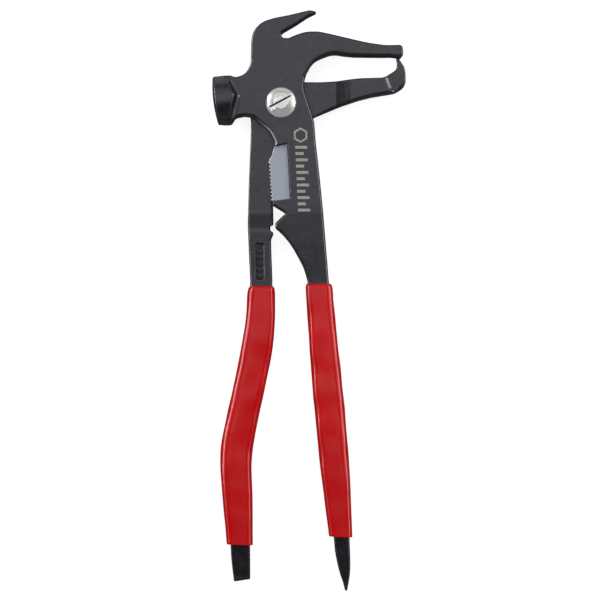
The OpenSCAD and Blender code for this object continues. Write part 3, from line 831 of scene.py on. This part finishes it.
def maths(nt, op, a, b=None, c=None, clamp=False):
    m = nt.nodes.new("ShaderNodeMath")
    m.operation, m.use_clamp = op, clamp
    for i, val in enumerate((a, b, c)):
        if val is None:
            continue
        if isinstance(val, (float, int)):
            m.inputs[i].default_value = val
        else:
            nt.links.new(val, m.inputs[i])
    return m.outputs[0]


def remap(nt, fac, a, b, c, d):
    m = nt.nodes.new("ShaderNodeMapRange")
    m.clamp = True
    nt.links.new(fac, m.inputs[0])
    for i, v in enumerate((a, b, c, d)):
        m.inputs[i + 1].default_value = v
    return m.outputs[0]


def bump(nt, height, strength, distance, normal=None):
    b = nt.nodes.new("ShaderNodeBump")
    b.inputs["Strength"].default_value = strength
    b.inputs["Distance"].default_value = distance
    nt.links.new(height, b.inputs["Height"])
    if normal is not None:
        nt.links.new(normal, b.inputs["Normal"])
    return b.outputs[0]


def coords(nt, scale=(1, 1, 1), rot=(0, 0, 0)):
    t = nt.nodes.new("ShaderNodeTexCoord")
    m = nt.nodes.new("ShaderNodeMapping")
    m.inputs["Scale"].default_value = scale
    m.inputs["Rotation"].default_value = rot
    nt.links.new(t.outputs["Object"], m.inputs["Vector"])
    return m.outputs[0]


def black_steel():
    m, nt, b = nodes_of("black_oxide_steel")
    v = coords(nt)
    grain = noise(nt, v, 2600, 4, 0.65)
    mott = noise(nt, v, 420, 5, 0.6, 0.4)
    cloud = noise(nt, v, 45, 3, 0.5)
    base = ramp(nt, mott, [(0.32, (0.0016, 0.0015, 0.0026)), (0.52, (0.0050, 0.0048, 0.0072)), (0.70, (0.0120, 0.0114, 0.0150))])
    base = mix_col(nt, remap(nt, cloud, 0.3, 0.7, 0.0, 0.4), base, (0.0070, 0.0066, 0.0096))
    base = mix_col(nt, remap(nt, grain, 0.48, 0.75, 0.0, 0.5), base, (0.030, 0.029, 0.034))
    at = N(nt, "ShaderNodeAttribute", attribute_name="wear")
    breakup = noise(nt, v, 900, 4, 0.7)
    wear = maths(nt, "MULTIPLY", at.outputs["Fac"], remap(nt, breakup, 0.35, 0.65, 0.1, 1.0), clamp=True)
    base = mix_col(nt, maths(nt, "MULTIPLY", wear, 0.35), base, (0.060, 0.058, 0.062))
    # painted highlight: the arc band's colour is pushed near white in place of light caught on that edge
    arc_highlight = N(nt, "ShaderNodeAttribute", attribute_name="painted_arc_highlight")
    base = mix_col(nt, maths(nt, "MULTIPLY", arc_highlight.outputs["Fac"], remap(nt, breakup, 0.35, 0.65, 0.75, 1.0)), base, (0.74, 0.735, 0.75))
    nt.links.new(base, b.inputs["Base Color"])
    rough = remap(nt, mott, 0.30, 0.70, 0.25, 0.38)
    rough = maths(nt, "SUBTRACT", rough, maths(nt, "MULTIPLY", wear, 0.06))
    sunk = N(nt, "ShaderNodeAttribute", attribute_name="pit")
    rough = maths(nt, "MULTIPLY_ADD", sunk.outputs["Fac"], 0.22, rough)
    nt.links.new(rough, b.inputs["Roughness"])
    orange = noise(nt, v, 1050, 3, 0.6)
    n0 = bump(nt, orange, 0.70, 0.00009)
    n1 = bump(nt, grain, 0.40, 0.00007, n0)
    n2 = bump(nt, mott, 0.30, 0.00014, n1)
    n3 = bump(nt, cloud, 0.6, 0.0006, n2)
    nt.links.new(n3, b.inputs["Normal"])
    b.inputs["Specular IOR Level"].default_value = 0.70
    b.inputs["Specular Tint"].default_value = (0.90, 0.88, 1.0, 1)
    return m


def ground_steel():
    m, nt, b = nodes_of("ground_steel")
    v = coords(nt)
    vs = coords(nt, (900, 5200, 900), (0, 0, math.radians(6)))
    scr = noise(nt, vs, 1.0, 4, 0.6)
    fine = noise(nt, v, 2400, 3, 0.6)
    cloud = noise(nt, v, 160, 3, 0.5)
    base = ramp(nt, scr, [(0.25, (0.30, 0.325, 0.38)), (0.6, (0.42, 0.445, 0.505)), (0.85, (0.50, 0.52, 0.57))])
    base = mix_col(nt, remap(nt, cloud, 0.3, 0.7, 0, 0.4), base, (0.40, 0.43, 0.50))
    nt.links.new(base, b.inputs["Base Color"])
    b.inputs["Metallic"].default_value = 0.9
    nt.links.new(remap(nt, fine, 0.3, 0.7, 0.40, 0.55), b.inputs["Roughness"])
    nt.links.new(bump(nt, scr, 0.16, 0.00004), b.inputs["Normal"])
    return m


def plated():
    m, nt, b = nodes_of("bright_zinc_plate")
    v = coords(nt)
    w = nt.nodes.new("ShaderNodeTexWave")
    w.wave_type, w.rings_direction = "RINGS", "Z"
    w.inputs["Scale"].default_value = 420
    w.inputs["Distortion"].default_value = 0.8
    w.inputs["Detail"].default_value = 2
    w.inputs["Detail Scale"].default_value = 3
    nt.links.new(v, w.inputs["Vector"])
    cloud = noise(nt, v, 300, 4, 0.6)
    spots = noise(nt, v, 1500, 3, 0.7)
    base = ramp(nt, cloud, [(0.25, (0.70, 0.695, 0.68)), (0.55, (0.79, 0.79, 0.785)), (0.8, (0.86, 0.86, 0.86))])
    base = mix_col(nt, remap(nt, spots, 0.58, 0.8, 0, 0.35), base, (0.56, 0.56, 0.55))
    base = mix_col(nt, remap(nt, w.outputs["Fac"], 0.1, 0.9, 0.0, 0.12), base, (0.60, 0.60, 0.60))
    dull = N(nt, "ShaderNodeAttribute", attribute_name="dull")
    base = mix_col(nt, maths(nt, "MULTIPLY", dull.outputs["Fac"], 0.75), base, (0.84, 0.84, 0.83))
    cut = N(nt, "ShaderNodeAttribute", attribute_name="cut")            # painted shadow: near-black colour along the deeper line of the slot
    base = mix_col(nt, cut.outputs["Fac"], base, (0.03, 0.03, 0.032))
    nt.links.new(base, b.inputs["Base Color"])
    b.inputs["Metallic"].default_value = 0.45
    nt.links.new(remap(nt, cloud, 0.3, 0.7, 0.20, 0.29), b.inputs["Roughness"])
    n1 = bump(nt, w.outputs["Fac"], 0.25, 0.00005)
    n2 = bump(nt, spots, 0.10, 0.00003, n1)
    nt.links.new(n2, b.inputs["Normal"])
    return m


def red_vinyl():
    m, nt, b = nodes_of("dipped_red_vinyl")
    v = coords(nt)
    peel = noise(nt, v, 150, 2, 0.5)
    cloud = noise(nt, v, 28, 2, 0.5)
    speck = noise(nt, v, 1700, 3, 0.6)
    base = ramp(nt, cloud, [(0.3, (0.65, 0.0020, 0.0042)), (0.55, (0.73, 0.0030, 0.0055)), (0.75, (0.78, 0.0054, 0.0085))])
    base = mix_col(nt, remap(nt, speck, 0.55, 0.8, 0, 0.22), base, (0.42, 0.0018, 0.0030))
    nt.links.new(base, b.inputs["Base Color"])
    nt.links.new(remap(nt, peel, 0.3, 0.7, 0.19, 0.27), b.inputs["Roughness"])
    b.inputs["Specular IOR Level"].default_value = 0.26
    n1 = bump(nt, peel, 0.10, 0.0004)
    n2 = bump(nt, speck, 0.05, 0.00003, n1)
    nt.links.new(n2, b.inputs["Normal"])
    return m


def etched():
    m, nt, b = nodes_of("pale_etch")
    v = coords(nt)
    a = noise(nt, v, 1400, 4, 0.7)
    base = ramp(nt, a, [(0.3, (0.37, 0.355, 0.32)), (0.6, (0.49, 0.475, 0.43))])
    nt.links.new(base, b.inputs["Base Color"])
    nt.links.new(remap(nt, a, 0.3, 0.7, 0.6, 0.75), b.inputs["Roughness"])
    b.inputs["Metallic"].default_value = 0.1
    nt.links.new(bump(nt, a, 0.15, 0.00004), b.inputs["Normal"])
    return m


def floor_mat():
    m, nt, b = nodes_of("pale_floor")
    v = coords(nt)
    a = noise(nt, v, 6, 2, 0.5)
    base = ramp(nt, a, [(0.3, (0.60, 0.60, 0.60)), (0.7, (0.64, 0.64, 0.64))])
    nt.links.new(base, b.inputs["Base Color"])
    b.inputs["Roughness"].default_value = 0.9
    b.inputs["Specular IOR Level"].default_value = 0.2
    b.inputs["Emission Color"].default_value = (1, 1, 1, 1)
    b.inputs["Emission Strength"].default_value = 0.80
    return m


# ---------------------------------------------------------------- build

STEEL, GROUND, ZINC, VINYL, ETCH = black_steel(), ground_steel(), plated(), red_vinyl(), etched()


def dress(o, mat, body):
    o.data.materials.clear()
    o.data.materials.append(mat)
    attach(o, body)
    return o


hammer = dress(build_hammer_lever(), STEEL, "hammer_side")
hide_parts("hammer_lever")
hook = dress(build_hook_lever(), STEEL, "hook_side")
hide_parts("hook_lever")
blade = dress(build_blade(), GROUND, "hammer_side")
marks = dress(build_marks(), ETCH, "hammer_side")
screw, shank = build_screw()
dress(screw, ZINC, "hook_side")
dress(shank, ZINC, "hook_side")
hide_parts("pivot_screw")
nut = dress(build_nut(), ZINC, "hook_side")
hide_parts("pivot_nut")
sleeve_a = dress(build_sleeve("hammer_grip_sleeve", HAMMER_SLEEVE, HAMMER_CORE, [-94.6, -116.5, -135.1, -154.0], 1, -0.04), VINYL, "hammer_side")
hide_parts("hammer_grip")
sleeve_b = dress(build_sleeve("hook_grip_sleeve", HOOK_SLEEVE, HOOK_CORE, [-84.0, -115.3, -134.2, -153.1], -1, -0.04), VINYL, "hook_side")
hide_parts("hook_grip")

# ---------------------------------------------------------------- floor, light and camera

fm = bpy.data.meshes.new("floor")
fm.from_pydata([(-3, -3, 0), (3, -3, 0), (3, 3, 0), (-3, 3, 0)], [], [(0, 1, 2, 3)])
floor = bpy.data.objects.new("floor", fm)
fm.materials.append(floor_mat())
scene.collection.objects.link(floor)
floor.location.z = -0.0005
floor.visible_glossy = False                             # the steel sees the studio, not its own table
floor.visible_diffuse = False

# a studio with a dim ceiling, pale walls at the sides and behind, and a pale band along the horizon
world = bpy.data.worlds.new("studio")
scene.world = world
world.use_nodes = True
wt = world.node_tree
bg = wt.nodes["Background"]
wc = wt.nodes.new("ShaderNodeTexCoord")
wz = wt.nodes.new("ShaderNodeSeparateXYZ")
wt.links.new(wc.outputs["Generated"], wz.inputs[0])


def wmath(op, a, b=None, c=None):
    m = wt.nodes.new("ShaderNodeMath")
    m.operation = op
    for i, v in enumerate((a, b, c)):
        if isinstance(v, (int, float)):
            m.inputs[i].default_value = v
        elif v is not None:
            wt.links.new(v, m.inputs[i])
    return m.outputs[0]


def wstep(v, a, b):
    """1 below a, 0 above b."""
    m = wt.nodes.new("ShaderNodeMapRange")
    m.interpolation_type = "SMOOTHSTEP"
    wt.links.new(v, m.inputs[0])
    for i, k in enumerate((a, b, 1.0, 0.0)):
        m.inputs[i + 1].default_value = k
    return m.outputs[0]


ends = wmath("POWER", wmath("ABSOLUTE", wz.outputs[0]), 3.0)
far = wmath("POWER", wmath("MAXIMUM", wz.outputs[1], 0.0), 2.0)
above = wmath("SUBTRACT", 1.0, wstep(wz.outputs[2], -0.10, -0.02))
walls = wmath("MULTIPLY", wstep(wz.outputs[2], 0.06, 0.36), wmath("MULTIPLY_ADD", wmath("MULTIPLY", ends, above), 1.15, wmath("MULTIPLY", far, 0.85)))
near = wmath("MULTIPLY", wmath("POWER", wmath("MAXIMUM", wmath("MULTIPLY", wz.outputs[1], -1.0), 0.0), 2.0), 0.14)
walls = wmath("MAXIMUM", walls, near)
band = wmath("MULTIPLY", wstep(wmath("ABSOLUTE", wz.outputs[2]), 0.03, 0.09), 0.85)
wt.links.new(wmath("ADD", wmath("MAXIMUM", walls, band), WORLD_TOP), bg.inputs[0])
bg.inputs[1].default_value = 1.0


def area(name, zen, azi, dist_, size, size_y, radiance):
    """A softbox seen from the object at a zenith angle and azimuth, with the given brightness."""
    d = bpy.data.lights.new(name, "AREA")
    d.shape, d.size, d.size_y = "RECTANGLE", size, size_y
    d.energy = radiance * math.pi * size * size_y
    o = bpy.data.objects.new(name, d)
    scene.collection.objects.link(o)
    z, a = math.radians(zen), math.radians(azi)
    v = Vector((math.sin(z) * math.cos(a), math.sin(z) * math.sin(a), math.cos(z)))
    o.location = Vector((0.008, -0.087, 0.012)) + v * dist_
    o.rotation_euler = v.to_track_quat("Z", "Y").to_euler()
    o.visible_camera = False
    return o


for k, (zen, half, rad) in enumerate(((7.7, 10.3, 1.44), (28, 10, 1.15), (49, 11, 0.86))):     # the big softbox fades upwards
    area("softbox_top_%d" % k, zen, 90, 1.3, 2.0, 2.6 * math.tan(math.radians(half)), rad)
for side, azi, rads in (("left", 164.5, (15.0, 3.0, 0.35)), ("right", 15, (8.0, 3.0, 0.9))):   # low, long and bright: they draw the edges
    for k, (zen, high) in enumerate(((83.5, 0.30), (72, 0.22), (61, 0.28))):
        area("strip_%s_%d" % (side, k), zen, azi, 1.3, 1.10, high, rads[k]).visible_diffuse = False

for name, zen, azi, high, rad in (("fill_top", 14, 270, 1.0, 0.36), ("fill_left", 78, 180, 0.5, 1.5), ("fill_right", 78, 0, 0.5, 1.5)):
    area(name, zen, azi, 1.3, 1.2, high, rad).visible_glossy = False       # these lift the matt colours only

cam_d = bpy.data.cameras.new("camera")
cam = bpy.data.objects.new("camera", cam_d)
scene.collection.objects.link(cam)
dist = 1.6
cam.location = (0.00836, -0.08668, 0.014 + dist)
cam.rotation_euler = (0, 0, 0)
cam_d.sensor_width = 36
cam_d.lens = 36 * dist / 0.264
cam_d.clip_end = 20
scene.camera = cam
scene.view_settings.view_transform = "Standard"
